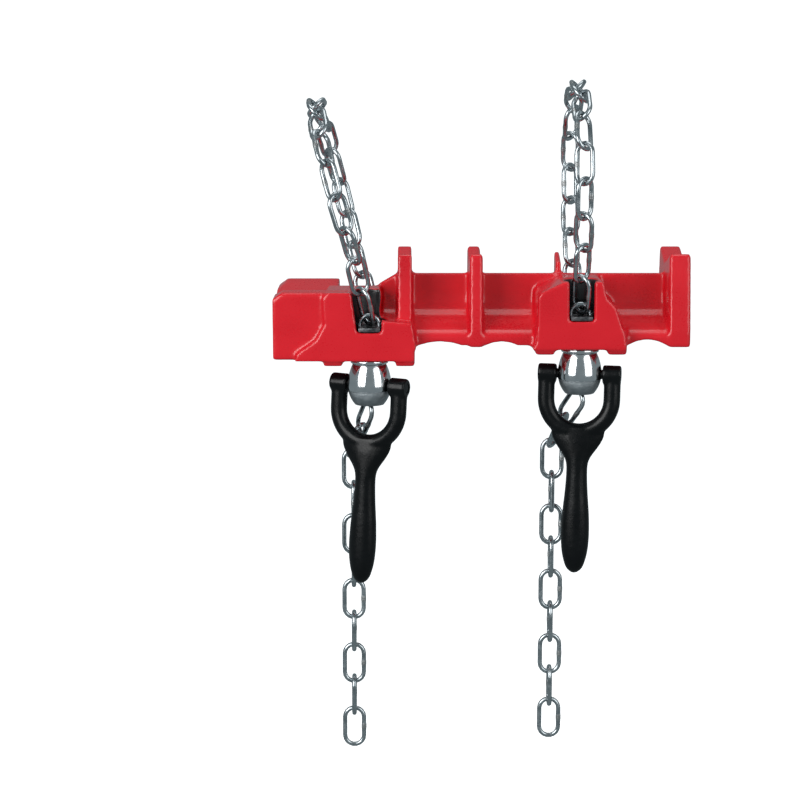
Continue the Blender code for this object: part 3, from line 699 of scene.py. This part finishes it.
def add_screw(side, steel):
    """Hollow screw with its key, and the slotted cap that catches a link."""
    low, rim, cap = -SCREW_LENGTH, RIM_HEIGHT, -CAP_THICKNESS
    thread = []
    for i in range(int((SCREW_LENGTH - SCREW_PLAIN) / THREAD_STEP)):
        z = low + THREAD_STEP + i * THREAD_STEP
        thread += [(SCREW_RADIUS - THREAD_DEPTH, z), (SCREW_RADIUS, z + THREAD_STEP / 2)]
    profile = [(CHAIN_BORE, low), (SCREW_RADIUS - 1.5 * MM, low), *thread, (SCREW_RADIUS, rim)]
    profile += [(CHAIN_BORE, rim), (CHAIN_BORE, 0), (CHAIN_HOLE_RADIUS, 0)]
    profile += [(CHAIN_HOLE_RADIUS, cap), (CHAIN_BORE, cap)]
    slot, wide, gate, front, past = SLOT_HALF_WIDTH, SLOT_REACH, RIM_GATE, -25 * MM, 5 * MM
    key = (-KEY_HALF_WIDTH, -KEY_REACH, -KEY_HEIGHT), (KEY_HALF_WIDTH, -KEY_ROOT, 0)
    tools = [
        (block(*key), "UNION"),
        (block((-slot, -wide, cap - past), (slot, wide, MM)), "DIFFERENCE"),
        (block((-wide, -slot, cap - past), (wide, slot, MM)), "DIFFERENCE"),
        (block((-gate, front, 0), (gate, 0, rim + past)), "DIFFERENCE"),
    ]
    tools = [(mesh_of("screw_tool", bm), operation) for bm, operation in tools]
    bevel = {"width": 0.5 * MM, "segments": 2, "limit_method": "ANGLE", "angle_limit": radians(50)}
    mesh = shaped(mesh_of("chain_screw", turned(profile, 64), steel), [("BEVEL", bevel)], tools)
    mesh.shade_smooth()
    mesh.set_sharp_from_angle(angle=radians(35))
    at = Matrix.Translation((STATION[side].x, STATION[side].y, SEAT[side]))
    place(f"chain_screw_{side}_turned", mesh, at, f"screw_{side}", "dark_steel", f"chain_screw_{side}")


def add_washer(side, bright):
    """The washer under the boss, on which the nut turns."""
    node = f"thrust_washer_{side}"
    low, high = (corner.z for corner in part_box(node))
    inner, outer = SCREW_RADIUS + MM, 20 * MM
    ring = softened([(inner, low), (outer, low), (outer, high), (inner, high)], 1.2 * MM)
    washer = mesh_of("thrust_washer", turned(ring, 72), bright)
    at = Matrix.Translation((STATION[side].x, STATION[side].y, 0))
    place(f"{node}_turned", washer, at, "base", "bright_plate", node)


def anchor_frame(side):
    """On the anchor pin's axis, with Z along the pin."""
    low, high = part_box(f"anchor_pin_{side}")
    centre = (low + high) / 2
    centre.x = low.x - ANCHOR_TOP
    return Matrix.Translation(centre) @ Matrix.Rotation(pi / 2, 4, "Y")


def add_anchor_pin(side, steel):
    """The headed pin that holds the chain's fixed end in the rear ears, with a cross hole."""
    shank, head, hole_radius, hole_reach = 3.5 * MM, 6 * MM, 1.7 * MM, 8 * MM
    profile = [(0, ANCHOR_TOP), (head, ANCHOR_TOP), (head, ANCHOR_HEAD), (shank, ANCHOR_HEAD)]
    profile += [(shank, ANCHOR_END), (0, ANCHOR_END)]
    pin = mesh_of("anchor_pin", turned(softened(profile, 0.9 * MM, False), 40, False), steel)
    hole = turned(bar(hole_radius, -hole_reach, hole_reach), 24, False)
    moved(hole, Matrix.Translation((0, 0, COTTER_AT)) @ Matrix.Rotation(pi / 2, 4, "Y"))
    pin = shaped(pin, [], [mesh_of("cotter_hole", hole)])
    pin.set_sharp_from_angle(angle=radians(35))
    place(f"anchor_pin_{side}_turned", pin, anchor_frame(side), "base", "dark_steel", f"anchor_pin_{side}")


def add_cotter(side, steel):
    """The split pin through the anchor pin: a straight leg and a round eye."""
    wire_radius, eye_centre, eye_radius = 1.2 * MM, -7.5 * MM, 3 * MM
    leg = [(x * MM, COTTER_AT) for x in (7, 3, -2, -4)]
    path = leg + arc((eye_centre, COTTER_AT), eye_radius, 20, 340, 28)[1:-1]
    wire = tube(path, [(wire_radius, wire_radius)] * len(path), 14, False)
    mesh, node = mesh_of("cotter", wire, steel), f"anchor_cotter_{side}"
    place(f"{node}_bent", mesh, anchor_frame(side), "base", "dark_steel", node)


# ---------------------------------------------------------------- studio


def add_floor():
    """A pale floor that sweeps up far away on every side. Only the camera sees it, not the gloss."""
    below_tails, radius, bend, height = 0.30, 5.0, 2.5, 9.0
    depth = cad_box[0].z - below_tails
    profile = [(0, depth), *arc((radius, depth + bend), bend, -90, 0, 16), (radius + bend, depth + height)]
    glow = {"Emission_Color": (1.0, 1.0, 1.0), "Emission_Strength": 0.85}
    paint = Paint("floor", Base_Color=(0.92, 0.92, 0.92), Roughness=0.9, **glow)
    floor = bpy.data.objects.new("floor", mesh_of("floor", turned(profile, 96, False), paint.material))
    bpy.context.collection.objects.link(floor)
    floor.visible_glossy = False
    floor.visible_diffuse = False


def add_light(name, at, target, size, power):
    """A rectangular lamp that faces its target."""
    light = bpy.data.lights.new(name, "AREA")
    light.shape = "RECTANGLE"
    light.size, light.size_y = size
    light.energy = power
    made = bpy.data.objects.new(name, light)
    made.location = at
    made.rotation_euler = (Vector(target) - Vector(at)).to_track_quat("-Z", "Y").to_euler()
    bpy.context.collection.objects.link(made)


def add_studio():
    """A pale floor, faint bluish light from all round, and large lamps at the left, the right and above."""
    add_floor()
    world = bpy.data.worlds.new("studio")
    bpy.context.scene.world = world
    world.use_nodes = True
    background = world.node_tree.nodes["Background"].inputs
    background["Color"].default_value = (0.80, 0.95, 1.0, 1)
    background["Strength"].default_value = 0.26
    aim = (0, 0, -0.1)
    add_light("key_left", (-1.5, -1.6, 0.6), aim, (1.5, 1.6), 41)
    add_light("key_right", (1.5, -1.5, 0.5), aim, (1.4, 1.6), 17)
    add_light("top", (0.0, 0.4, 2.0), aim, (1.6, 1.2), 12)


def add_camera():
    """A long lens in front, a little above the casting and looking slightly down."""
    lens = bpy.data.cameras.new("camera")
    lens.sensor_width = 36
    lens.lens = 95
    camera = bpy.data.objects.new("camera", lens)
    camera.location = (-0.0896, -2.264, 0.2421)
    camera.rotation_euler = (radians(80.15), 0, 0)
    bpy.context.collection.objects.link(camera)
    bpy.context.scene.camera = camera
    bpy.context.scene.view_settings.view_transform = "Standard"


def main():
    bright, satin, steel, black = bright_plate(), satin_plate(), dark_steel(), black_enamel()
    add_casting(red_enamel())
    add_chains(zinc_plate())
    yoke = yoke_mesh(black)
    for side in SIDES:
        add_screw(side, steel)
        add_washer(side, bright)
        add_nut(side, bright, satin)
        add_pins(side, black)
        add_handle(side, yoke)
        add_anchor_pin(side, steel)
        add_cotter(side, steel)
    add_studio()
    add_camera()


main()
